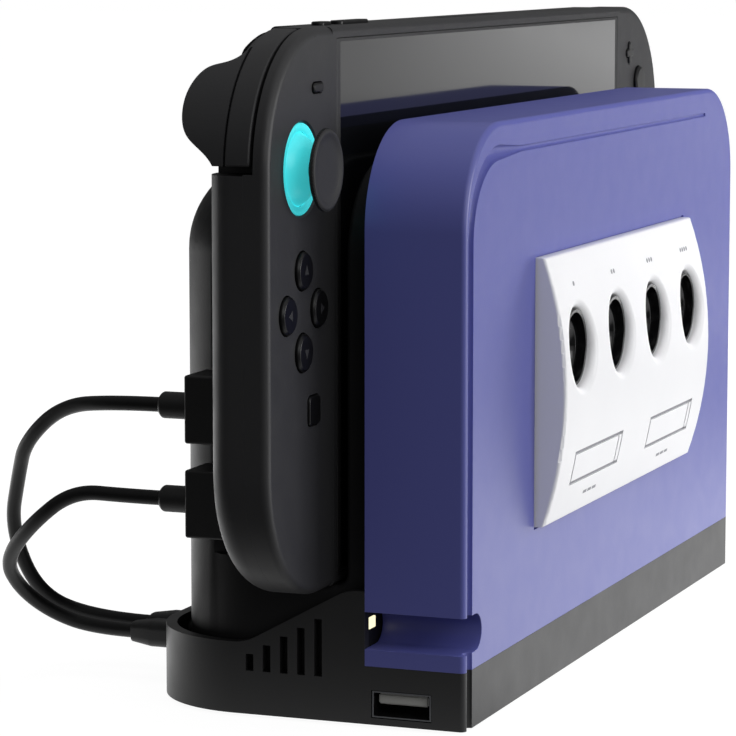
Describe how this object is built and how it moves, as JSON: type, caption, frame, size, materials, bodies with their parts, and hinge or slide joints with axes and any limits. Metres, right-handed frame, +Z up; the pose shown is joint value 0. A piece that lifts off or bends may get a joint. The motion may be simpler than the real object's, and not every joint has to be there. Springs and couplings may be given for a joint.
{
  "type": "handheld console dock",
  "caption": "U-shaped charging dock in a console-style cover and base tray, with a handheld console standing in it and short patch leads at its side.",
  "frame": {"origin": "on the supporting surface, under the middle of the footprint without the leads", "axes": "+X to the right seen from the front, +Y to the back, +Z up"},
  "size_m": [0.272, 0.1235, 0.1458],
  "materials": {
    "cover_blue": "satin",
    "panel_white": "satin",
    "port_black": "gloss",
    "base_black": "satin",
    "foot_rubber": "matte",
    "socket_steel": "satin",
    "socket_plastic": "matte",
    "board_green": "gloss",
    "light_amber": "lit",
    "dock_black": "satin",
    "fan_black": "satin",
    "lead_rubber": "satin",
    "console_black": "satin",
    "screen_glass": "gloss",
    "ring_teal": "satin",
    "ring_coral": "satin",
    "key_black": "satin",
    "stick_black": "satin",
    "stick_rubber": "matte"
  },
  "bodies": {
    "dock": {"front_cover": "cover_blue", "port_panel": "panel_white", "port_cups": "port_black", "base_tray": "base_black", "rubber_feet": "foot_rubber", "usb_shells": "socket_steel", "dock_sockets": "socket_steel", "usb_tongues": "socket_plastic", "dock_connector": "socket_plastic", "usb_boards": "board_green", "dock_board": "board_green", "status_light": "light_amber", "dock_body": "dock_black", "dock_rear_lid": "dock_black", "fan_frame": "fan_black", "upper_lead": "lead_rubber", "lower_lead": "lead_rubber", "upper_lead_plug": "lead_rubber", "lower_lead_plug": "lead_rubber", "upper_lead_boot": "lead_rubber", "lower_lead_boot": "lead_rubber", "tablet_housing": "console_black", "tablet_stand": "console_black", "left_grip_front": "console_black", "left_grip_back": "console_black", "right_grip_front": "console_black", "right_grip_back": "console_black", "screen_glass": "screen_glass", "left_stick_ring": "ring_teal", "right_stick_ring": "ring_coral"},
    "fan_rotor": {"fan_rotor": "fan_black"},
    "left_upper_key": {"left_upper_key": "key_black"},
    "left_lower_key": {"left_lower_key": "key_black"},
    "left_outer_key": {"left_outer_key": "key_black"},
    "left_inner_key": {"left_inner_key": "key_black"},
    "minus_key": {"minus_key": "key_black"},
    "capture_key": {"capture_key": "key_black"},
    "right_upper_key": {"right_upper_key": "key_black"},
    "right_lower_key": {"right_lower_key": "key_black"},
    "right_outer_key": {"right_outer_key": "key_black"},
    "right_inner_key": {"right_inner_key": "key_black"},
    "plus_key": {"plus_key": "key_black"},
    "home_key": {"home_key": "key_black"},
    "chat_key": {"chat_key": "key_black"},
    "power_key": {"power_key": "key_black"},
    "volume_rocker": {"volume_rocker": "key_black"},
    "card_flap": {"card_flap": "key_black"},
    "left_shoulder_key": {"left_shoulder_key": "key_black"},
    "right_shoulder_key": {"right_shoulder_key": "key_black"},
    "left_trigger": {"left_trigger": "key_black"},
    "right_trigger": {"right_trigger": "key_black"},
    "left_stick_gimbal": {"left_stick_gimbal": "stick_black"},
    "left_stick_stem": {"left_stick_stem": "stick_black", "left_stick_dome": "ring_teal"},
    "right_stick_gimbal": {"right_stick_gimbal": "stick_black"},
    "right_stick_stem": {"right_stick_stem": "stick_black", "right_stick_dome": "ring_coral"},
    "left_stick_cap": {"left_stick_cap": "stick_rubber"},
    "right_stick_cap": {"right_stick_cap": "stick_rubber"}
  },
  "joints": [
    {"name": "left_upper_key_press", "type": "slide", "parent": "dock", "child": "left_upper_key", "axis": [0, 1, 0], "range_m": [0, 0.0008], "stiffness_N_per_m": 150},
    {"name": "left_lower_key_press", "type": "slide", "parent": "dock", "child": "left_lower_key", "axis": [0, 1, 0], "range_m": [0, 0.0008], "stiffness_N_per_m": 150},
    {"name": "left_outer_key_press", "type": "slide", "parent": "dock", "child": "left_outer_key", "axis": [0, 1, 0], "range_m": [0, 0.0008], "stiffness_N_per_m": 150},
    {"name": "left_inner_key_press", "type": "slide", "parent": "dock", "child": "left_inner_key", "axis": [0, 1, 0], "range_m": [0, 0.0008], "stiffness_N_per_m": 150},
    {"name": "right_upper_key_press", "type": "slide", "parent": "dock", "child": "right_upper_key", "axis": [0, 1, 0], "range_m": [0, 0.0008], "stiffness_N_per_m": 150},
    {"name": "right_lower_key_press", "type": "slide", "parent": "dock", "child": "right_lower_key", "axis": [0, 1, 0], "range_m": [0, 0.0008], "stiffness_N_per_m": 150},
    {"name": "right_outer_key_press", "type": "slide", "parent": "dock", "child": "right_outer_key", "axis": [0, 1, 0], "range_m": [0, 0.0008], "stiffness_N_per_m": 150},
    {"name": "right_inner_key_press", "type": "slide", "parent": "dock", "child": "right_inner_key", "axis": [0, 1, 0], "range_m": [0, 0.0008], "stiffness_N_per_m": 150},
    {"name": "minus_key_press", "type": "slide", "parent": "dock", "child": "minus_key", "axis": [0, 1, 0], "range_m": [0, 0.0004], "stiffness_N_per_m": 150},
    {"name": "capture_key_press", "type": "slide", "parent": "dock", "child": "capture_key", "axis": [0, 1, 0], "range_m": [0, 0.0004], "stiffness_N_per_m": 150},
    {"name": "plus_key_press", "type": "slide", "parent": "dock", "child": "plus_key", "axis": [0, 1, 0], "range_m": [0, 0.0004], "stiffness_N_per_m": 150},
    {"name": "home_key_press", "type": "slide", "parent": "dock", "child": "home_key", "axis": [0, 1, 0], "range_m": [0, 0.0008], "stiffness_N_per_m": 150},
    {"name": "chat_key_press", "type": "slide", "parent": "dock", "child": "chat_key", "axis": [0, 1, 0], "range_m": [0, 0.0004], "stiffness_N_per_m": 150},
    {"name": "power_key_press", "type": "slide", "parent": "dock", "child": "power_key", "axis": [0, 0, -1], "range_m": [0, 0.0006], "stiffness_N_per_m": 150},
    {"name": "volume_rocker_tilt", "type": "hinge", "parent": "dock", "child": "volume_rocker", "pos_m": [-0.074, 0.00235, 0.1438], "axis": [0, 1, 0], "range_deg": [-2, 2], "stiffness_Nm_per_rad": 0.05},
    {"name": "card_flap_hinge", "type": "hinge", "parent": "dock", "child": "card_flap", "pos_m": [0.069, 0.00435, 0.1443], "axis": [-1, 0, 0], "range_deg": [0, 100]},
    {"name": "fan_spin", "type": "hinge", "parent": "dock", "child": "fan_rotor", "pos_m": [0, 0.03, 0.0702], "axis": [0, 1, 0], "continuous": true},
    {"name": "left_stick_rock", "type": "hinge", "parent": "dock", "child": "left_stick_gimbal", "pos_m": [-0.1178, 0.001, 0.117], "axis": [1, 0, 0], "range_deg": [-11, 11], "stiffness_Nm_per_rad": 0.02},
    {"name": "left_stick_sway", "type": "hinge", "parent": "left_stick_gimbal", "child": "left_stick_stem", "pos_m": [-0.1178, 0.001, 0.117], "axis": [0, 0, 1], "range_deg": [-11, 11], "stiffness_Nm_per_rad": 0.02},
    {"name": "left_stick_click", "type": "slide", "parent": "left_stick_stem", "child": "left_stick_cap", "axis": [0, 1, 0], "range_m": [0, 0.00025], "stiffness_N_per_m": 150},
    {"name": "left_shoulder_key_press", "type": "hinge", "parent": "dock", "child": "left_shoulder_key", "pos_m": [-0.11277, 0.0024, 0.14154], "axis": [0, -1, 0], "range_deg": [0, 2], "stiffness_Nm_per_rad": 0.3},
    {"name": "left_trigger_press", "type": "hinge", "parent": "dock", "child": "left_trigger", "pos_m": [-0.11277, 0.0024, 0.14154], "axis": [0, -1, 0], "range_deg": [0, 2.5], "stiffness_Nm_per_rad": 0.3},
    {"name": "right_stick_rock", "type": "hinge", "parent": "dock", "child": "right_stick_gimbal", "pos_m": [0.1178, 0.001, 0.0882], "axis": [1, 0, 0], "range_deg": [-11, 11], "stiffness_Nm_per_rad": 0.02},
    {"name": "right_stick_sway", "type": "hinge", "parent": "right_stick_gimbal", "child": "right_stick_stem", "pos_m": [0.1178, 0.001, 0.0882], "axis": [0, 0, 1], "range_deg": [-11, 11], "stiffness_Nm_per_rad": 0.02},
    {"name": "right_stick_click", "type": "slide", "parent": "right_stick_stem", "child": "right_stick_cap", "axis": [0, 1, 0], "range_m": [0, 0.00025], "stiffness_N_per_m": 150},
    {"name": "right_shoulder_key_press", "type": "hinge", "parent": "dock", "child": "right_shoulder_key", "pos_m": [0.11277, 0.0024, 0.14154], "axis": [0, 1, 0], "range_deg": [0, 2], "stiffness_Nm_per_rad": 0.3},
    {"name": "right_trigger_press", "type": "hinge", "parent": "dock", "child": "right_trigger", "pos_m": [0.11277, 0.0024, 0.14154], "axis": [0, 1, 0], "range_deg": [0, 2.5], "stiffness_Nm_per_rad": 0.3}
  ]
}
